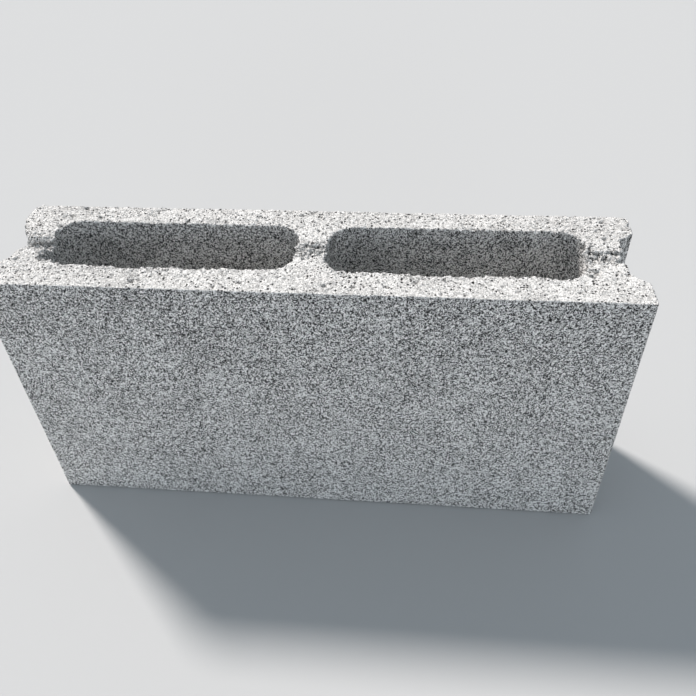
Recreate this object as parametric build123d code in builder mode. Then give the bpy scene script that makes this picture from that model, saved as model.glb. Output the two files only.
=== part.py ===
"""Hollow concrete block with two tapered cells, moulded as one piece and standing on its bed face.

Millimetres, +Z up. X runs along the block, Y through it, and the front face looks along -Y.
The origin is the centre of the underside.
"""

import os
from math import atan, degrees

from build123d import *

# Overall block
length = 397.0
width = 92.0
height = 194.0

# Walls at the top, where the cells are widest
face_shell = 20.0
end_web = 20.0
centre_web = 18.0

# Cells: each cell wall leans in by the draft from the top to the underside, so that the cores pull out
cell_corner_radius = 18.0
cell_draft = 4.0
cell_rim_radius = 1.5

# Mortar groove down the middle of each end, wider at its mouth than at its floor
groove_depth = 10.0
groove_mouth = 51.0
groove_floor = 35.0
groove_mouth_radius = 4.0
groove_floor_radius = 3.0

# Slot that the mould's core bar leaves across the top of each web, deepest at the left end
bar_slot_width = 12.0
bar_slot_floor = 9.0
bar_slot_depth_left = 8.0
bar_slot_depth_centre = 1.5
bar_slot_depth_right = 3.0
bar_slot_rim_radius = 1.2
bar_slot_floor_radius = 0.8
bar_slot_overrun = 2.0

# Small roundings of the moulded outside edges
corner_radius = 2.0
arris_radius = 1.2

# Places worked out from the sizes above
end_x = length / 2
groove_floor_x = end_x - groove_depth
cell_outer_x = groove_floor_x - end_web
cell_inner_x = centre_web / 2
cell_length = cell_outer_x - cell_inner_x
cell_width = width - 2 * face_shell
cell_radius = min(cell_corner_radius, 0.45 * cell_width)
cell_spacing = cell_outer_x + cell_inner_x
draft_angle = degrees(atan(cell_draft / height))

# The webs from left to right: where each starts and ends along X, and how deep its slot is
webs = [
    (-groove_floor_x, -cell_outer_x, bar_slot_depth_left),
    (-cell_inner_x, cell_inner_x, bar_slot_depth_centre),
    (cell_outer_x, groove_floor_x, bar_slot_depth_right),
]

with BuildPart() as hollow_block:
    # Plan of the block: a rectangle with a flared groove in each end
    with BuildSketch() as plan:
        Rectangle(length, width)
        fillet(plan.vertices(), corner_radius)
        for end in (-1, 1):
            with BuildLine():
                Polyline(
                    (end * end_x, groove_mouth / 2),
                    (end * groove_floor_x, groove_floor / 2),
                    (end * groove_floor_x, -groove_floor / 2),
                    (end * end_x, -groove_mouth / 2),
                    close=True,
                )
            make_face(mode=Mode.SUBTRACT)
        groove_corners = plan.vertices().filter_by(lambda v: abs(v.Y) <= groove_mouth / 2 + 0.001)
        mouth_corners = groove_corners.filter_by(lambda v: abs(v.X) > end_x - groove_depth / 2)
        floor_corners = groove_corners.filter_by(lambda v: abs(v.X) < end_x - groove_depth / 2)
        fillet(mouth_corners, groove_mouth_radius)
        fillet(floor_corners, groove_floor_radius)
    extrude(amount=height)
    levels = hollow_block.edges().group_by(Axis.Z)
    fillet(levels[0] + levels[-1], arris_radius)

    # Two cells, drawn at the top and drawn in towards the underside
    with BuildSketch(Plane.XY.offset(height)):
        with GridLocations(cell_spacing, 0, 2, 1):
            RectangleRounded(cell_length, cell_width, cell_radius)
    extrude(amount=-height, taper=draft_angle, mode=Mode.SUBTRACT)
    cell_rims = hollow_block.faces().sort_by(Axis.Z)[-1].inner_wires().edges()
    fillet(cell_rims, cell_rim_radius)

    # Core bar slots: the bar's section hangs from a wider head above the block, so that its throat
    # rounds the slot's rims, and each cut runs a little past both faces of its web
    for web_start, web_end, slot_depth in webs:
        with BuildSketch(Plane.YZ.offset(web_start - bar_slot_overrun)) as bar:
            with BuildLine():
                Polyline(
                    (-bar_slot_width / 2, height),
                    (-bar_slot_floor / 2, height - slot_depth),
                    (bar_slot_floor / 2, height - slot_depth),
                    (bar_slot_width / 2, height),
                    close=True,
                )
            make_face()
            with Locations((0, height)):
                Rectangle(2 * bar_slot_width, bar_slot_width, align=(Align.CENTER, Align.MIN))
            corners = bar.vertices().group_by(Axis.Y)
            fillet(corners[0], bar_slot_floor_radius)
            throat = bar.vertices().filter_by(
                lambda v: abs(v.Y - height) < 0.001 and abs(v.X) < bar_slot_width
            )
            fillet(throat, bar_slot_rim_radius)
        extrude(amount=web_end - web_start + 2 * bar_slot_overrun, mode=Mode.SUBTRACT)

hollow_block.part.label = "hollow_block"

os.makedirs("parts", exist_ok=True)
export_step(hollow_block.part, "parts/hollow_block.step")
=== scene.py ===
"""Looks of the hollow concrete block: its dry-pressed surface, crumbled rims, grit and colour.

Metres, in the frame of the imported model: X along the block, Y through it, Z up, floor at Z = 0.
"""

from math import cos, radians, sin

import bmesh
import bpy
import numpy as np
from mathutils import Matrix, Vector


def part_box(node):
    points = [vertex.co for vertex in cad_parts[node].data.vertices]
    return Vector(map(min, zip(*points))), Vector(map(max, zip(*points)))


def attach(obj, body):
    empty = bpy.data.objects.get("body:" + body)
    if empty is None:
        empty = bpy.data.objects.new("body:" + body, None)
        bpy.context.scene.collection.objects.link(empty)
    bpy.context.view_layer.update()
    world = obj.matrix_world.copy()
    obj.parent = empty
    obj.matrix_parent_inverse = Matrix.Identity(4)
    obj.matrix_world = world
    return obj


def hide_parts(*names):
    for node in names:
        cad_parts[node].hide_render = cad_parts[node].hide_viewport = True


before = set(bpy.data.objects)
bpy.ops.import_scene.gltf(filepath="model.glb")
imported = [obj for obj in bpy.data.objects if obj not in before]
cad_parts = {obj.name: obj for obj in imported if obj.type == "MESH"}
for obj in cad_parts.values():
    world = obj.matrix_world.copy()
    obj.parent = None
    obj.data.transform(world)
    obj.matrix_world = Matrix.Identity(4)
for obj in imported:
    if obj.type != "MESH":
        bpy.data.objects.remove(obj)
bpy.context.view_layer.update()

MM = 0.001

# The block's own sizes: its box from the frame, and its walls as they were moulded
LOW, HIGH = (np.array(corner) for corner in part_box("hollow_block"))
END_X, FACE_Y, TOP_Z = HIGH
FACE_SHELL = 20 * MM
END_WEB = 20 * MM
CENTRE_WEB = 18 * MM
CELL_CORNER = 18 * MM
CELL_DRAFT = 4 * MM
CELL_RIM = 1.0 * MM
GROOVE_DEPTH = 10 * MM
GROOVE_MOUTH = 51 * MM
GROOVE_FLOOR = 35 * MM
GROOVE_MOUTH_RADIUS = 4 * MM
GROOVE_FLOOR_RADIUS = 3 * MM
CORNER = 2 * MM
ARRIS = 1.2 * MM
SLOT_WIDTH = 12 * MM
SLOT_FLOOR = 9 * MM

# The core bar's slots, as deep as the crumbled concrete in them leaves them
SLOT_DEPTH_LEFT = 5.0 * MM
SLOT_DEPTH_CENTRE = 0.8 * MM
SLOT_DEPTH_RIGHT = 1.6 * MM

# Places worked out from the sizes above
FLOOR_X = END_X - GROOVE_DEPTH
CELL_OUT_X = FLOOR_X - END_WEB
CELL_IN_X = CENTRE_WEB / 2
CELL_Y = FACE_Y - FACE_SHELL
CELL_FLAT_Y = CELL_Y - CELL_CORNER
CELL_MIDDLE_X = (CELL_OUT_X + CELL_IN_X) / 2
CELL_HALF_X = (CELL_OUT_X - CELL_IN_X) / 2

# Points nearer than SAME_PLACE to the middle plane lie on it, and no number is divided by a length
# shorter than TINY
SAME_PLACE = 1e-9
TINY = 1e-12

# Points along a cell's corner before it is spaced out again, and along one of the outline's corners
ARC_POINTS = 25
CORNER_POINTS = 9


# Random fields in space

# Multipliers of a lattice point's coordinates, of the seed, and of their sum with its bits mixed
MIX_X, MIX_Y, MIX_Z = np.int64(374761393), np.int64(668265263), np.int64(1103515245)
MIX_SEED = 974711
MIX_SUM = np.int64(1274126177)
LARGEST = 0xFFFFFF


def lattice(ix, iy, iz, seed):
    """A number from 0 to 1 for each whole lattice point: its coordinates and the seed are multiplied
    and added, and the sum's high bits are mixed into its low ones, twice."""
    n = ix * MIX_X + iy * MIX_Y + iz * MIX_Z + seed * MIX_SEED
    n = (n ^ (n >> 13)) & 0x7FFFFFFF
    n = (n * MIX_SUM) & 0x7FFFFFFFFFFF
    n = (n ^ (n >> 16)) & LARGEST
    return n / LARGEST


def smooth(x, low, high):
    """0 below low, 1 above high, and a smooth step between them."""
    t = np.clip((x - low) / (high - low), 0, 1)
    return t * t * (3 - 2 * t)


def soft_noise(points, size, seed):
    """Lattice numbers that far apart, blended by a smooth step along each axis: from -1 to 1."""
    scaled = points / size
    cell = np.floor(scaled).astype(np.int64)
    share = smooth(scaled - cell, 0, 1)
    total = np.zeros(len(points))
    for corner in np.ndindex(2, 2, 2):
        weight = np.prod(np.where(corner, share, 1 - share), axis=1)
        total += weight * lattice(*(cell + corner).T, seed)
    return 2 * total - 1


def grains(points, size, seed):
    """Random points lie one to a cube of that size. For each place: 1 at the nearest of them,
    falling to 0 three quarters of a cube away, and that nearest point's own number from 0 to 1."""
    scaled = points / size
    cell = np.floor(scaled).astype(np.int64)
    nearest = np.full(len(points), np.inf)
    number = np.zeros(len(points))
    for step in np.ndindex(3, 3, 3):
        at = cell + step - 1
        spot = at + np.stack([lattice(*at.T, seed + k) for k in range(3)], axis=1)
        distance = np.linalg.norm(scaled - spot, axis=1)
        number = np.where(distance < nearest, lattice(*at.T, seed + 3), number)
        nearest = np.minimum(nearest, distance)
    return 1 - smooth(nearest, 0.1, 0.75), number


# Plan of the block: a path round each cell's rim beside a path round the outline

def resampled(path, count):
    """That many points along a path, evenly spaced by its length, without its last point."""
    path = np.asarray(path, float)
    along = np.append(0, np.cumsum(np.linalg.norm(np.diff(path, axis=0), axis=1)))
    at = np.linspace(0, along[-1], count, endpoint=False)
    return np.stack([np.interp(at, along, column) for column in path.T], axis=1)


def arc(centre_x, centre_y, radius, start, stop):
    """Points on a level circle from one angle to another, in degrees."""
    angle = np.radians(np.linspace(start, stop, ARC_POINTS))
    x, y = centre_x + radius * np.cos(angle), centre_y + radius * np.sin(angle)
    return np.stack([x, y, 0 * angle], axis=1)


def rounded(corners, radii):
    """A level path through corners, each rounded by an arc that touches both of its sides."""
    corners = np.array([(x, y, 0) for x, y in corners])
    path = [corners[:1]]
    for before, at, after, radius in zip(corners, corners[1:], corners[2:], radii):
        back, ahead = before - at, after - at
        back, ahead = back / np.linalg.norm(back), ahead / np.linalg.norm(ahead)
        half = np.arccos(back @ ahead) / 2
        middle = at + (back + ahead) / np.linalg.norm(back + ahead) * radius / np.sin(half)
        share = np.linspace(0, 1, CORNER_POINTS)[:, None]
        spoke = at + ((1 - share) * back + share * ahead) * radius / np.tan(half) - middle
        path.append(middle + spoke / np.linalg.norm(spoke, axis=1)[:, None] * radius)
    return np.concatenate(path + [corners[-1:]])


def slot_path(x, depth):
    """Across a web at X, from its middle to the cell's corner: the slot's floor, its steep side, its
    worn rim and the flat beside it. The third number is how far the top is lowered there."""
    half_floor, half_width = SLOT_FLOOR / 2, SLOT_WIDTH / 2
    return np.array([
        (x, 0, depth),
        (x, -half_floor + 0.6 * MM, depth),
        (x, -half_floor - 0.4 * MM, 0.88 * depth),
        (x, -half_width, 0.14 * depth),
        (x, -half_width - 0.8 * MM, 0),
        (x, -CELL_FLAT_Y, 0),
    ])


def right_of(path):
    """Level unit directions to the right of a path's travel."""
    x, y = np.gradient(path[:, 0]), np.gradient(path[:, 1])
    return np.stack([y, -x], axis=1) / np.hypot(x, y)[:, None]


def all_round(values, mirror):
    """A half's numbers, column by column, and then the same mirrored back to the first column."""
    return np.concatenate([values[:-1], values[:0:-1] * mirror])


def plan_columns(end_depth):
    """The half at +X, from the middle of the centre web round the front to the middle of the end web
    and back round the mirrored side: the rim's points and their directions into the concrete, the
    outline's points and their directions out of it, and how far the top is lowered. The last value
    is the number of columns on each side of the first that lie on the middle plane X = 0."""
    near, far = CELL_IN_X + CELL_CORNER, CELL_OUT_X - CELL_CORNER

    # The cell's first corner faces the middle plane up to this angle, and the front face past it
    turn = 180 + 90 * (FACE_Y - CELL_FLAT_Y) / (FACE_Y - CELL_FLAT_Y + near)

    # Columns along each stretch of the plan
    web, seam, shoulder, side, end, end_web = 14, 34, 24, 112, 84, 16

    rim = np.concatenate([
        resampled(slot_path(CELL_IN_X, SLOT_DEPTH_CENTRE), web),
        resampled(arc(near, -CELL_FLAT_Y, CELL_CORNER, 180, turn), seam),
        resampled(arc(near, -CELL_FLAT_Y, CELL_CORNER, turn, 270), shoulder),
        resampled([(near, -CELL_Y, 0), (far, -CELL_Y, 0)], side),
        resampled(arc(far, -CELL_FLAT_Y, CELL_CORNER, 270, 360), end),
        resampled(slot_path(CELL_OUT_X, end_depth)[::-1], end_web),
        [(CELL_OUT_X, 0, end_depth)],
    ])
    end_outline = rounded(
        [
            (far, -FACE_Y),
            (END_X, -FACE_Y),
            (END_X, -GROOVE_MOUTH / 2),
            (FLOOR_X, -GROOVE_FLOOR / 2),
            (FLOOR_X, -CELL_FLAT_Y),
        ],
        [CORNER, GROOVE_MOUTH_RADIUS, GROOVE_FLOOR_RADIUS],
    )
    outline = np.concatenate([
        resampled(slot_path(0, SLOT_DEPTH_CENTRE), web),
        resampled([(0, -CELL_FLAT_Y, 0), (0, -FACE_Y + ARRIS, 0)], seam),
        resampled([(0, -FACE_Y, 0), (near, -FACE_Y, 0)], shoulder),
        resampled([(near, -FACE_Y, 0), (far, -FACE_Y, 0)], side),
        resampled(end_outline, end),
        resampled(slot_path(FLOOR_X, end_depth)[::-1], end_web),
        [(FLOOR_X, 0, end_depth)],
    ])
    on_seam = web + seam
    out = right_of(outline)
    out[:on_seam] = 0
    out[on_seam] = (0, -1)
    flip = np.array([1, -1])
    return (
        all_round(rim[:, :2], flip),
        all_round(right_of(rim), flip),
        all_round(outline[:, :2], flip),
        all_round(out, flip),
        all_round(rim[:, 2], 1),
        on_seam,
    )


def graded(count, crowding):
    """Shares from 0 up to 1, without 1 itself, spaced by a power so that they crowd near it."""
    return 1 - (1 - np.linspace(0, 1, count, endpoint=False)) ** crowding


def row_set(xy, z):
    """Rows of level places and their heights, as rows by columns by XYZ."""
    z = np.broadcast_to(z, xy.shape[:2])
    return np.concatenate([xy, z[:, :, None]], axis=2)


def wall_section(rim, into, outline, out, drop):
    """The surface round a cell, as a section carried along the plan: up the leaning cell wall, round
    its rim, across the top, round the arris, down the outside and back under. Rows by columns by XYZ.
    Also each row's spacing in columns, and the first and last rows of the outside."""
    cell_rows, edge_rows, top_rows, outside_rows, bed_rows = 30, 4, 30, 52, 8
    cell_crowding, outside_crowding = 2.2, 1.8
    rows_beside_top = 6
    top = TOP_Z - drop
    quarter_turn = np.linspace(0, np.pi / 2, edge_rows, endpoint=False)[:, None]
    rise, run = np.sin(quarter_turn), np.cos(quarter_turn)

    height = graded(cell_rows, cell_crowding)[:, None]
    z = height * (top - CELL_RIM)
    lean = (CELL_DRAFT * (1 - z / TOP_Z))[:, :, None]
    cell_wall = row_set(rim - into * lean, z)

    rim_run = (CELL_RIM * (1 - run))[:, :, None]
    cell_rim = row_set(rim + into * rim_run, top - CELL_RIM * (1 - rise))

    share = np.linspace(0, 1, top_rows, endpoint=False)[:, None, None]
    rim_edge, arris_edge = rim + into * CELL_RIM, outline - out * ARRIS
    top_face = row_set((1 - share) * rim_edge + share * arris_edge, top)

    arris_run = (ARRIS * (1 - rise))[:, :, None]
    arris = row_set(outline - out * arris_run, top - ARRIS * (1 - run))

    depth = (1 - graded(outside_rows, outside_crowding)[::-1])[:, None]
    depth = (depth - depth[0]) / (1 - depth[0] + 1 / outside_rows)
    outside_top = top - ARRIS
    outside_z = outside_top + (ARRIS - outside_top) * depth
    outside = row_set(outline + 0 * depth[:, :, None], outside_z)

    foot_run = (ARRIS * (1 - run))[:, :, None]
    foot = row_set(outline - out * foot_run, ARRIS * (1 - rise))

    share = np.linspace(0, 1, bed_rows, endpoint=False)[:, None, None]
    bed = row_set((1 - share) * arris_edge + share * (rim - into * CELL_DRAFT), 0.0)

    parts = [cell_wall, cell_rim, top_face, arris, outside, foot, bed]
    ends = np.cumsum([len(part) for part in parts])
    spacing = np.full(ends[-1], 2)
    spacing[ends[0] - rows_beside_top:ends[3] + rows_beside_top] = 1
    return np.concatenate(parts), spacing, ends[2], ends[5]


def ring_mesh(surface, spacing, on_seam, outside_first, outside_last):
    """Points and faces of a section surface whose rows and columns both close on themselves. Where
    the spacing changes from one row to the next, five-sided faces join them. The outside's faces on
    the middle plane are left out, because the other half continues there."""
    row_count, column_count = surface.shape[:2]
    points = np.concatenate([row[::step] for row, step in zip(surface, spacing)])
    starts = np.append(0, np.cumsum(column_count // spacing))
    columns = np.arange(column_count)
    seam = (columns <= on_seam) | (columns >= column_count - on_seam)
    faces = []
    for row in range(row_count):
        after = (row + 1) % row_count
        here, there = spacing[row], spacing[after]
        step = max(here, there)
        c = columns[::step]
        ring = [
            (starts[row], here, 0),
            (starts[after], there, 0),
            (starts[after], there, step),
            (starts[row], here, step),
        ]
        if here < there:
            ring.append((starts[row], here, 1))
        if there < here:
            ring.insert(2, (starts[after], there, 1))
        corners = [start + (c + on) % column_count // each for start, each, on in ring]
        face = np.stack(corners, axis=1)
        if outside_first <= row < outside_last:
            face = face[~(seam[c] & seam[(c + step) % column_count])]
        faces.append(face)
    return points, faces


def block_surface():
    """Both halves, joined along the points that they share on the middle plane, as points and
    faces."""
    halves = []
    for end_depth, side in ((SLOT_DEPTH_RIGHT, 1), (SLOT_DEPTH_LEFT, -1)):
        *columns, on_seam = plan_columns(end_depth)
        surface, spacing, first, last = wall_section(*columns)
        points, faces = ring_mesh(surface, spacing, on_seam, first, last)
        halves.append((points * (side, 1, 1), [face[:, ::side] for face in faces]))
    (right, right_faces), (left, left_faces) = halves
    numbers = np.arange(len(right))
    shared = np.abs(right[:, 0]) < SAME_PLACE
    places = np.where(shared, numbers, numbers + len(right))
    faces = right_faces + [places[face] for face in left_faces]
    points = np.concatenate([right, left])
    used = np.zeros(len(points), bool)
    for face in faces:
        used[face] = True
    new_number = np.cumsum(used) - 1
    return points[used], [new_number[face] for face in faces]


def across_faces(corners):
    """The cross products of faces' diagonals: along their normals, as long as twice their area."""
    return np.cross(corners[:, 2] - corners[:, 0], corners[:, 3] - corners[:, 1])


def point_normals(points, faces):
    """Unit normals at the points: the cross products of each face's diagonals, added up at its
    corners."""
    total = np.zeros_like(points)
    for face in faces:
        across = across_faces(points[face])
        for column in face.T:
            np.add.at(total, column, across)
    return total / np.maximum(np.linalg.norm(total, axis=1), TINY)[:, None]


# Relief of the concrete

# Sizes of the cubes that hold one grain each
COARSE = 4.2 * MM
MIDDLE = 2.6 * MM
FINE = 1.7 * MM

# Depths in millimetres
GAP_DEPTH = 1.6
PIT_DEPTH = 1.0
VOID_DEPTH = 2.2
LEDGE_DEPTH = 0.7
FURROW_DEPTH = 1.0
CORNER_WEAR = 2.6

# The edge of the ledge at the +X end: its X on the middle plane, and how far that shifts along Y
LEDGE_X = 174.4 * MM
LEDGE_SLANT = 0.62

# Places where the concrete has broken away, or swells where the depth is below 0: middle, reach
# along X, Y and Z, and depth, in millimetres
CHIPS = [
    ((189.5, -1.5, 190.0), (7.0, 8.0, 10.0), 5.5),
    ((199.0, 35.0, 193.0), (3.0, 3.0, 6.0), 1.5),
    ((199.0, 46.0, 194.0), (4.0, 4.0, 5.0), 1.0),
    ((-199.0, 46.0, 194.0), (5.0, 5.0, 6.0), 1.5),
    ((-188.5, -5.0, 192.0), (5.0, 5.0, 8.0), 2.5),
    ((-190.0, 17.5, 192.0), (7.0, 8.0, 16.0), -3.8),
    ((-190.0, 5.0, 192.0), (4.0, 5.0, 6.0), 1.4),
    ((-178.0, 7.0, 190.0), (13.0, 3.5, 6.0), -2.2),
    ((-166.5, -13.0, 193.0), (6.5, 8.0, 9.0), 3.6),
    ((8.5, -1.0, 193.0), (3.5, 3.5, 6.0), 2.2),
]

# Rows of open voids in the top: first and last place in millimetres, and how many
VOID_ROWS = [
    ((-188, 9), (-175, 9), 5),
    ((-187, 4), (-183, -2), 2),
    ((-6, 8), (-2, -5), 5),
    ((0, 4), (5, 3), 2),
    ((6, -6), (-4, -12), 4),
    ((8, 0), (9, -6), 3),
    ((171, 13), (170, 5), 4),
    ((171, 2), (179, 1), 6),
    ((173, -4), (181, -4), 4),
    ((178, 6), (185, 4), 3),
    ((171, -14), (166, -23), 5),
    ((189, -17), (185, -20), 3),
]


def cell_distance(points):
    """Level distance from a cell's rim, more than 0 in the concrete, and the direction into it: the
    distance to a rectangle with rounded corners."""
    side = np.sign(points[:, 0])
    x = np.abs(points[:, 0]) - CELL_MIDDLE_X
    y = points[:, 1]
    past_x = np.abs(x) - CELL_HALF_X + CELL_CORNER
    past_y = np.abs(y) - CELL_Y + CELL_CORNER
    past = np.stack([past_x, past_y], axis=1)
    corner = np.maximum(past, 0)
    distance = np.linalg.norm(corner, axis=1) + np.minimum(past.max(axis=1), 0) - CELL_CORNER
    flat = np.where(past[:, :1] > past[:, 1:], [[1.0, 0.0]], [[0.0, 1.0]])
    way = np.where((past > 0).any(axis=1)[:, None], corner, flat)
    way = way / np.maximum(np.linalg.norm(way, axis=1), TINY)[:, None]
    return distance, way * np.stack([side * np.sign(x), np.sign(y)], axis=1)


def chipped(points):
    """How deep the chips cut at each place: their depths inside uneven balls, 0 outside them."""
    wobble = 0.3 * soft_noise(points, 4 * MM, seed=71) + 0.15 * soft_noise(points, 1.8 * MM, seed=72)
    depth = np.zeros(len(points))
    for middle, reach, most in CHIPS:
        away = np.linalg.norm((points / MM - middle) / reach, axis=1) + wobble
        depth += most * MM * (1 - smooth(away, 0.5, 1.0))
    return depth


def voids(points):
    """1 in the middle of each void of the rows, 0 more than its radius away on the level. The voids
    lie a little off their rows, and their radii are 1 to 1.7 mm."""
    chance = np.random.default_rng(seed=5)
    share = np.zeros(len(points))
    for first, last, count in VOID_ROWS:
        for along in (np.arange(count) + 0.5) / count:
            spot = (1 - along) * np.array(first) + along * np.array(last) + chance.normal(0, 0.6, 2)
            away = np.linalg.norm(points[:, :2] / MM - spot, axis=1) / chance.uniform(1.0, 1.7)
            share = np.maximum(share, 1 - smooth(away, 0.3, 1.0))
    return share * smooth(points[:, 2], TOP_Z - 14 * MM, TOP_Z - 9 * MM)


def relief(points, normals):
    """Where each point of the smooth block goes, how much painted shade darkens it in its hollows,
    how far the tamper closed its pores (raised on the left slot's walls as painted bounce light,
    which makes them paler), how gritty it is and how crumbly, the last four from 0 to 1. On the
    cells' walls a random mottle is added to the painted shade, mostly below 0, where they are paler.

    The top is packed grains with gaps and pits between them, more of them on the back shell. The
    slots and broken places are rougher, the front rims hang over the cells, and the moulded sides
    are nearly flat."""
    x, y, z = points.T
    facing_up = normals[:, 2]

    # Where the surface is: 1 in each place named, 0 away from it
    up = smooth(facing_up, 0.25, 0.8)
    under = smooth(-facing_up, 0.5, 0.9)
    upper = smooth(z, TOP_Z - 6 * MM, TOP_Z - 1.5 * MM)
    top = up * smooth(z, 150 * MM, 180 * MM)
    rim_away, way = cell_distance(points)
    rim = upper * (1 - smooth(np.abs(rim_away), 0.8 * MM, 4 * MM))
    skyward = smooth(facing_up, -0.3, 0.3)
    cell_wall = smooth(-rim_away, -0.5 * MM, 0.2 * MM) * (1 - up)
    on_web = smooth(np.abs(np.abs(x) - CELL_MIDDLE_X), CELL_HALF_X - 2 * MM, CELL_HALF_X)
    near_middle = 1 - smooth(np.abs(y), 6 * MM, 10 * MM)
    slot = on_web * near_middle * smooth(z, TOP_Z - 15 * MM, TOP_Z - 10 * MM)
    open_back = smooth(y, 22 * MM, 28 * MM)
    front = smooth(-y, 12 * MM, 24 * MM)
    end = smooth(x, CELL_OUT_X - 12 * MM, CELL_OUT_X - 4 * MM) * (1 - smooth(y, 0, 14 * MM))
    arris = upper * (1 - up) * smooth(np.abs(y), FACE_Y - 3 * MM, FACE_Y - 1 * MM)
    chip = chipped(points)
    chip_edge = smooth(chip, 0, 1.5 * MM) * smooth(z, TOP_Z - 18 * MM, TOP_Z - 12 * MM)
    broken = np.maximum(slot, chip_edge)
    void = voids(points)

    # Grains of three sizes, and the coarse and middle ones that are missing
    coarse, coarse_number = grains(points, COARSE, seed=11)
    middle, middle_number = grains(points, MIDDLE, seed=21)
    fine, _ = grains(points, FINE, seed=31)
    wave = soft_noise(points, 16 * MM, seed=41) + 0.5 * soft_noise(points, 7 * MM, seed=42)
    gap = smooth(coarse_number + 0.06 * open_back, 0.95, 0.97) * smooth(coarse, 0.2, 0.8)
    pit = smooth(middle_number + 0.25 * open_back, 0.86, 0.9) * smooth(middle, 0.3, 0.9)

    # How far the surface is pushed out along its normals, in millimetres
    rough = 0.2 * coarse + 0.35 * middle + 0.35 * fine + 0.2 * wave - 0.65
    rough = rough - GAP_DEPTH * gap - PIT_DEPTH * pit
    side = 0.10 * soft_noise(points, 30 * MM, seed=51) + 0.12 * middle + 0.1 * fine - 0.25
    push = side + (rough - side) * np.maximum(up, 0.55 * rim)
    crumbled = 1.8 * (coarse - 0.5) + 1.2 * (middle - 0.5) + 0.8 * soft_noise(points, 3 * MM, seed=54)
    push = push + broken * crumbled
    push = push * (1 - under) - 0.15 * under * (1 + soft_noise(points, 6 * MM, seed=52))
    push = push - 0.25 * arris * (1 + soft_noise(points, 5 * MM, seed=53)) - VOID_DEPTH * void * up
    moved = points + normals * (push * MM - chip)[:, None]

    # Grains smeared over the rims by the tamper: more along the front rims than along the back ones,
    # and most round the front corner at the +X end
    drawn_out = points * (1, 1, 0.2)
    scallop = 1.5 + 1.7 * soft_noise(drawn_out, 12 * MM, seed=61)
    scallop = np.maximum(scallop + 0.8 * soft_noise(drawn_out, 4 * MM, seed=62), -0.3)
    lip = 0.3 + front * (1 - end) * scallop + 2.6 * end + 0.9 * (1 - end) * (middle - 0.4)
    moved[:, :2] -= way * (rim * lip * MM)[:, None]

    # The slot runs out there on a ledge round the corner, with a furrow along its outer edge
    past = moved[:, 0] - LEDGE_X - LEDGE_SLANT * moved[:, 1]
    corner = end * upper * smooth(y, -22 * MM, -17 * MM) * (1 - smooth(y, -4 * MM, -1 * MM))
    ledge = LEDGE_DEPTH * corner * (1 - smooth(past, -0.5 * MM, 0.5 * MM))
    furrow = corner * (1 - smooth(np.abs(past), 0.2 * MM, 1.1 * MM))
    moved[:, 2] -= (ledge + FURROW_DEPTH * furrow) * MM

    # The left cell's back corner at its outer end is worn wider, most of all at the rim
    worn = smooth(-x, 152 * MM, 163 * MM) * smooth(y, -3 * MM, 9 * MM)
    worn = worn * smooth(z, TOP_Z - 70 * MM, TOP_Z)
    wear = CORNER_WEAR * MM * worn * (1 - smooth(rim_away, 1 * MM, 12 * MM))
    moved[:, :2] += way * wear[:, None]

    # What the colour and the loose grains need to know
    # Painted shade: darker in the gaps and pits between grains, in the low parts of broken places, in
    # the voids and along the furrow; the cells' walls get a random mottle on top of it
    recess_shade_and_mottle = up * (gap + 0.8 * pit + 0.3 * (0.45 - middle)) + 0.4 * broken * (0.5 - coarse) + void
    recess_shade_and_mottle = np.maximum(np.clip(recess_shade_and_mottle, 0, 1), 0.8 * furrow)
    mottle = 0.5 * soft_noise(points, 7 * MM, seed=81) + 0.5 * soft_noise(points, 3 * MM, seed=82)
    recess_shade_and_mottle = recess_shade_and_mottle + cell_wall * (mottle - 0.25)
    # The left slot's walls get most of the tamped value too, as painted bounce light: paler and
    # calmer than their shade leaves them
    tamped_and_painted_bounce = np.maximum(top * (1 - 0.8 * broken), 0.75 * slot * (x < -CELL_OUT_X))
    bare = np.maximum(void, 0.85 * open_back * np.maximum(gap, pit))
    gritty = np.maximum(top, rim * skyward) * (1 - bare)
    crumbly = np.maximum(broken, rim * (0.25 + 0.5 * front) * skyward) * (1 - void)
    return np.clip(moved, LOW, HIGH), recess_shade_and_mottle, tamped_and_painted_bounce, gritty, crumbly


def add_piece(name, points, faces, values):
    """A mesh object of points and faces, with named numbers at its points for its colour to read."""
    mesh = bpy.data.meshes.new(name)
    mesh.from_pydata(points.tolist(), [], faces)
    for label, numbers in values.items():
        attribute = mesh.attributes.new(label, "FLOAT", "POINT")
        attribute.data.foreach_set("value", numbers.astype(np.float32))
    piece = bpy.data.objects.new(name, mesh)
    bpy.context.scene.collection.objects.link(piece)
    return piece


# Loose-looking grains on the top

# The share of its size that a grain is sunk into the surface
SUNK = 0.35

# Piece, how many grains, least half-size and how much more the largest has, in millimetres, and how
# far the grains' own pores are closed
TOP_GRIT = ("top_grit", 9000, 0.35, 0.45, 1.0)
RIM_CRUMBS = ("rim_crumbs", 1800, 0.8, 0.9, 0.7)


def scattered(points, faces, weight, count, chance):
    """Random places on the four-sided faces, more of them where the faces are larger or weigh more,
    and the faces' unit normals there."""
    quads = np.concatenate([face for face in faces if face.shape[1] == 4])
    corners = points[quads]
    across = across_faces(corners)
    area = np.linalg.norm(across, axis=1)
    share = area * weight[quads].mean(axis=1)
    pick = chance.choice(len(quads), count, p=share / share.sum())
    u, v = chance.random((2, count, 1))
    a, b, c, d = corners[pick].transpose(1, 0, 2)
    spots = (1 - u) * ((1 - v) * a + v * d) + u * ((1 - v) * b + v * c)
    return spots, across[pick] / area[pick, None]


def any_turns(count, chance):
    """Rotation matrices spread evenly over all turns, from quaternions of four bell-curve numbers."""
    numbers = chance.normal(size=(4, count))
    w, x, y, z = numbers / np.linalg.norm(numbers, axis=0)
    return np.array([
        [1 - 2 * (y * y + z * z), 2 * (x * y - z * w), 2 * (x * z + y * w)],
        [2 * (x * y + z * w), 1 - 2 * (x * x + z * z), 2 * (y * z - x * w)],
        [2 * (x * z - y * w), 2 * (y * z + x * w), 1 - 2 * (x * x + y * y)],
    ]).transpose(2, 0, 1)


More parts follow.
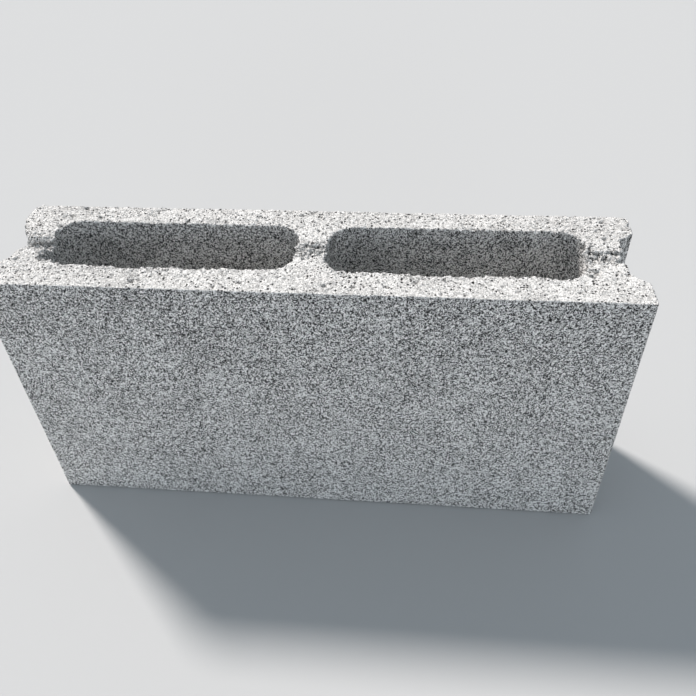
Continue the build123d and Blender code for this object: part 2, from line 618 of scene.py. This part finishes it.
def stones(kind, points, faces, weight, chance):
    """Angular grains strewn by weight over the faces and joined into one mesh, most of them near the
    least size. Each is a ball of twenty triangles whose corners are moved in or out by up to a
    quarter, stretched along three axes, turned at random, sunk by a third of its size into the
    surface, and given a tone of its own."""
    name, count, least, more, tamped_and_painted_bounce = kind
    spots, outward = scattered(points, faces, weight, count, chance)
    sizes = (least + more * chance.random(count) ** 2) * MM
    ball = bmesh.new()
    bmesh.ops.create_icosphere(ball, subdivisions=1, radius=1.0)
    shape = np.array([corner.co for corner in ball.verts])
    triangles = np.array([[corner.index for corner in face.verts] for face in ball.faces])
    ball.free()
    corners = shape * chance.uniform(0.75, 1.25, (count, len(shape), 1))
    corners = corners * chance.uniform(0.7, 1.3, (count, 1, 3)) @ any_turns(count, chance)
    sunk = spots - SUNK * outward * sizes[:, None]
    corners = corners * sizes[:, None, None] + sunk[:, None]
    corners = np.clip(corners.reshape(-1, 3), LOW, HIGH)
    sides = (triangles + len(shape) * np.arange(count)[:, None, None]).reshape(-1, 3)
    tone = np.repeat(chance.uniform(-0.25, 0.15, count), len(shape))
    values = {"tone": tone, "tamped_and_painted_bounce": np.full(len(corners), tamped_and_painted_bounce)}
    return add_piece(name, corners, sides.tolist(), values)


def concrete_pieces():
    """The block as one closed mesh, the grit that stands up from its top, and the larger crumbs in
    its slots, in its broken places and along its rims."""
    points, faces = block_surface()
    moved, recess_shade_and_mottle, tamped_and_painted_bounce, gritty, crumbly = relief(points, point_normals(points, faces))
    face_list = [face for part in faces for face in part.tolist()]
    block = add_piece("concrete_block", moved, face_list, {"recess_shade_and_mottle": recess_shade_and_mottle, "tamped_and_painted_bounce": tamped_and_painted_bounce})
    block.data.shade_smooth()
    chance = np.random.default_rng(seed=8)
    grit = stones(TOP_GRIT, moved, faces, gritty, chance)
    crumbs = stones(RIM_CRUMBS, moved, faces, crumbly, chance)
    return block, grit, crumbs


# Materials

BASE_GREY = (0.710, 0.706, 0.694)

# How many grains of sand, clumps, patches and pores lie along a metre
SAND = 1500.0
CLUMPS = 450.0
PATCHES = 30.0
FINE_PORES = 850.0
WIDE_PORES = 560.0


def feed(tree, socket, value):
    """A socket linked to another node's value, or given a plain one."""
    if isinstance(value, bpy.types.NodeSocket):
        tree.links.new(value, socket)
    else:
        socket.default_value = value


def add_node(tree, kind, settings, **sockets):
    """A shader node with its settings, each of its sockets linked or given a value."""
    node = tree.nodes.new("ShaderNode" + kind)
    for name, value in settings.items():
        setattr(node, name, value)
    for name, value in sockets.items():
        feed(tree, node.inputs[name.replace("_", " ")], value)
    return node


def ranged(tree, value, low, high, at_low, at_high):
    """A value's range from low to high, laid onto the range from at_low to at_high and held past
    its ends."""
    sockets = {"Value": value, "From_Min": low, "From_Max": high, "To_Min": at_low, "To_Max": at_high}
    return add_node(tree, "MapRange", {"clamp": True}, **sockets).outputs["Result"]


def combined(tree, operation, a, b):
    """Two values put through one step of arithmetic."""
    node = add_node(tree, "Math", {"operation": operation})
    feed(tree, node.inputs[0], a)
    feed(tree, node.inputs[1], b)
    return node.outputs["Value"]


def times(tree, a, b):
    """The product of two values."""
    return combined(tree, "MULTIPLY", a, b)


def plus(tree, a, b):
    """The sum of two values."""
    return combined(tree, "ADD", a, b)


def painted(tree, name):
    """The numbers of that name at the mesh's points."""
    return add_node(tree, "Attribute", {"attribute_name": name}).outputs["Fac"]


def pores(tree, place, scale, least, widest, narrowed):
    """Painted shade of pores: nearly 0 in pores and 1 between them. A pore lies in each Voronoi cell
    whose own number is over the least one, and it reaches up to the widest share of the cell's size,
    less where narrowed is above 0."""
    pattern = add_node(tree, "TexVoronoi", {"feature": "F1"}, Vector=place, Scale=scale)
    number = add_node(tree, "SeparateColor", {}, Color=pattern.outputs["Color"]).outputs["Red"]
    away = plus(tree, pattern.outputs["Distance"], ranged(tree, number, least, 1.0, widest, 0.0))
    return ranged(tree, plus(tree, away, narrowed), widest, widest + 0.06, 0.04, 1.0)


def pressed_concrete():
    """Light grey concrete of cement-coated sand grains with open pores between them, painted dark as
    the shade in them. The grey is multiplied by a tone for each grain, clump, patch and loose grain,
    by painted shade in the pores and hollows, by a random mottle on the cells' walls, and by painted
    bounce light that is paler towards the foot."""
    material = bpy.data.materials.new("pressed_concrete")
    material.use_nodes = True
    tree = material.node_tree
    shader = tree.nodes["Principled BSDF"]
    place = add_node(tree, "TexCoord", {}).outputs["Object"]
    recess_shade_and_mottle = painted(tree, "recess_shade_and_mottle")
    tamped_and_painted_bounce = painted(tree, "tamped_and_painted_bounce")
    stone_tone = ranged(tree, painted(tree, "tone"), -0.5, 0.5, 0.5, 1.5)
    # Painted light: the grey grows paler towards the foot and darker up to the top, standing in for
    # light bounced up from the floor
    height_up = add_node(tree, "SeparateXYZ", {}, Vector=place).outputs["Z"]
    painted_bounce_light = ranged(tree, height_up, 0.0, 190 * MM, 1.22, 0.77)

    sand = add_node(tree, "TexVoronoi", {"feature": "F1"}, Vector=place, Scale=SAND)
    number = add_node(tree, "SeparateColor", {}, Color=sand.outputs["Color"]).outputs
    grain_tone = ranged(tree, number["Red"], 0.2, 0.45, 0.08, 1.0)
    pale_tone = ranged(tree, number["Blue"], 0.5, 0.9, 0.85, 2.2)
    clumps = add_node(tree, "TexNoise", {}, Vector=place, Scale=CLUMPS, Detail=2.0, Roughness=0.7)
    clump_tone = ranged(tree, clumps.outputs["Fac"], 0.3, 0.7, 0.8, 1.2)
    patches = add_node(tree, "TexNoise", {}, Vector=place, Scale=PATCHES, Detail=4.0, Roughness=0.6)
    patch_tone = ranged(tree, patches.outputs["Fac"], 0.3, 0.7, 0.86, 1.14)
    # Painted shade in the hollows makes the grey darker, and the cells' mottle below 0 makes it paler
    recess_shade_and_mottle_tone = ranged(tree, recess_shade_and_mottle, -1.0, 1.0, 1.65, 0.35)

    # Fine pores, narrower where the surface is tamped, and there sparse wide ones too, all ragged and
    # painted dark as the shade in them
    ragged = ranged(tree, clumps.outputs["Fac"], 0.3, 0.7, -0.08, 0.08)
    fine_narrowed = plus(tree, ragged, ranged(tree, tamped_and_painted_bounce, 0.0, 1.0, 0.0, 0.18))
    wide_narrowed = plus(tree, ragged, ranged(tree, tamped_and_painted_bounce, 0.0, 1.0, 0.2, 0.0))
    fine_pores = pores(tree, place, FINE_PORES, -0.3, 0.46, fine_narrowed)
    wide_pores = pores(tree, place, WIDE_PORES, 0.4, 0.42, wide_narrowed)
    painted_pore_shade = times(tree, fine_pores, wide_pores)

    # The grains differ less where the surface is tamped
    speckle = times(tree, times(tree, grain_tone, clump_tone), pale_tone)
    speckled = ranged(tree, tamped_and_painted_bounce, 0.0, 1.0, 1.0, 0.55)
    calmer = add_node(tree, "Mix", {"data_type": "FLOAT"}, Factor=speckled, A=1.6, B=speckle)
    tone = times(tree, calmer.outputs["Result"], painted_pore_shade)
    tone = times(tree, tone, times(tree, patch_tone, recess_shade_and_mottle_tone))
    tone = times(tree, tone, times(tree, painted_bounce_light, stone_tone))
    tone = ranged(tree, tone, 0.0, 1.2, 0.0, 1.2)
    red, green, blue = (times(tree, tone, share) for share in BASE_GREY)
    colour = add_node(tree, "CombineColor", {}, Red=red, Green=green, Blue=blue)
    tree.links.new(colour.outputs["Color"], shader.inputs["Base Color"])

    # The painted pore shade is also the bump's height, so the pores are recessed as well as darkened
    raised = times(tree, painted_pore_shade, clump_tone)
    height = combined(tree, "SUBTRACT", raised, sand.outputs["Distance"])
    bump = add_node(tree, "Bump", {}, Strength=0.6, Distance=0.4 * MM, Height=height)
    tree.links.new(bump.outputs["Normal"], shader.inputs["Normal"])
    shader.inputs["Roughness"].default_value = 0.92
    shader.inputs["Specular IOR Level"].default_value = 0.25
    return material


def floor_paint():
    """Plain pale studio floor."""
    material = bpy.data.materials.new("studio_floor")
    material.use_nodes = True
    shader = material.node_tree.nodes["Principled BSDF"]
    shader.inputs["Base Color"].default_value = (0.5, 0.51, 0.515, 1)
    shader.inputs["Roughness"].default_value = 1.0
    shader.inputs["Specular IOR Level"].default_value = 0.0
    return material


# Studio

def studio_floor():
    """A level square, a hair under the block so that the two don't share a plane."""
    reach, z = 6.0, -0.2 * MM
    corners = [(-reach, -reach, z), (reach, -reach, z), (reach, reach, z), (-reach, reach, z)]
    mesh = bpy.data.meshes.new("studio_floor")
    mesh.from_pydata(corners, [], [(0, 1, 2, 3)])
    mesh.materials.append(floor_paint())
    floor = bpy.data.objects.new("studio_floor", mesh)
    bpy.context.scene.collection.objects.link(floor)
    return floor


def far_lamp(name, way, spread, strength, colour):
    """A lamp so far off along a way that it lights everything evenly, as a disc that is spread over
    an angle, in degrees."""
    lamp = bpy.data.lights.new(name, "SUN")
    lamp.angle = radians(spread)
    lamp.energy = strength
    lamp.color = colour
    holder = bpy.data.objects.new(name, lamp)
    holder.location = way
    holder.rotation_euler = (-Vector(way)).to_track_quat("-Z", "Y").to_euler()
    bpy.context.scene.collection.objects.link(holder)


def studio_light():
    """A soft, slightly warm key from behind and the left, as the daylight fell on the block, a weak
    low fill in front, and an even surround, which shows as a backdrop as pale as the floor."""
    far_lamp("key", (-7.15, 6.1, 10.1), spread=8.4, strength=4.4, colour=(1.0, 0.938, 0.896))
    far_lamp("fill", (0.3, -2.5, 0.2), spread=23.0, strength=0.68, colour=(0.88, 0.93, 1.0))
    world = bpy.data.worlds.new("studio")
    world.use_nodes = True
    tree = world.node_tree
    surround = tree.nodes["Background"]
    surround.inputs["Color"].default_value = (0.82, 0.915, 1.0, 1)
    surround.inputs["Strength"].default_value = 0.5
    backdrop = add_node(tree, "Background", {}, Color=(0.73, 0.74, 0.75, 1), Strength=1.0)
    ray = add_node(tree, "LightPath", {}).outputs
    seen = plus(tree, ray["Is Camera Ray"], ray["Is Glossy Ray"])
    seen = plus(tree, seen, ray["Is Transmission Ray"])
    both = add_node(tree, "MixShader", {}, Fac=seen)
    tree.links.new(surround.outputs["Background"], both.inputs[1])
    tree.links.new(backdrop.outputs["Background"], both.inputs[2])
    tree.links.new(both.outputs["Shader"], tree.nodes["World Output"].inputs["Surface"])
    bpy.context.scene.world = world


def photo_camera():
    """The camera that the block's edges in the photograph give: its place, how far it looks down, its
    turn to the side, its tilt about its own axis, and its lens on a frame 36 mm wide."""
    place = Vector((66.12, -364.67, 438.05)) * MM
    down, turn, tilt = radians(41.517), radians(-7.193), radians(-2.589)
    ahead = Vector((sin(turn) * cos(down), cos(turn) * cos(down), -sin(down)))
    level = Vector((cos(turn), -sin(turn), 0))
    above = level.cross(ahead)
    right = cos(tilt) * level + sin(tilt) * above
    up = cos(tilt) * above - sin(tilt) * level
    turned = Matrix((right, up, -ahead)).transposed().to_4x4()
    lens = bpy.data.cameras.new("photo_camera")
    lens.sensor_width = 36
    lens.lens = 36.66
    lens.clip_start = 0.01
    camera = bpy.data.objects.new("photo_camera", lens)
    camera.matrix_world = Matrix.Translation(place) @ turned
    bpy.context.scene.collection.objects.link(camera)
    bpy.context.scene.camera = camera


concrete = pressed_concrete()
block, grit, crumbs = concrete_pieces()
for piece in (block, grit, crumbs):
    piece.data.materials.append(concrete)
    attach(piece, "root")
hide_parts("hollow_block")

studio_floor()
studio_light()
photo_camera()
bpy.context.scene.view_settings.view_transform = "Standard"
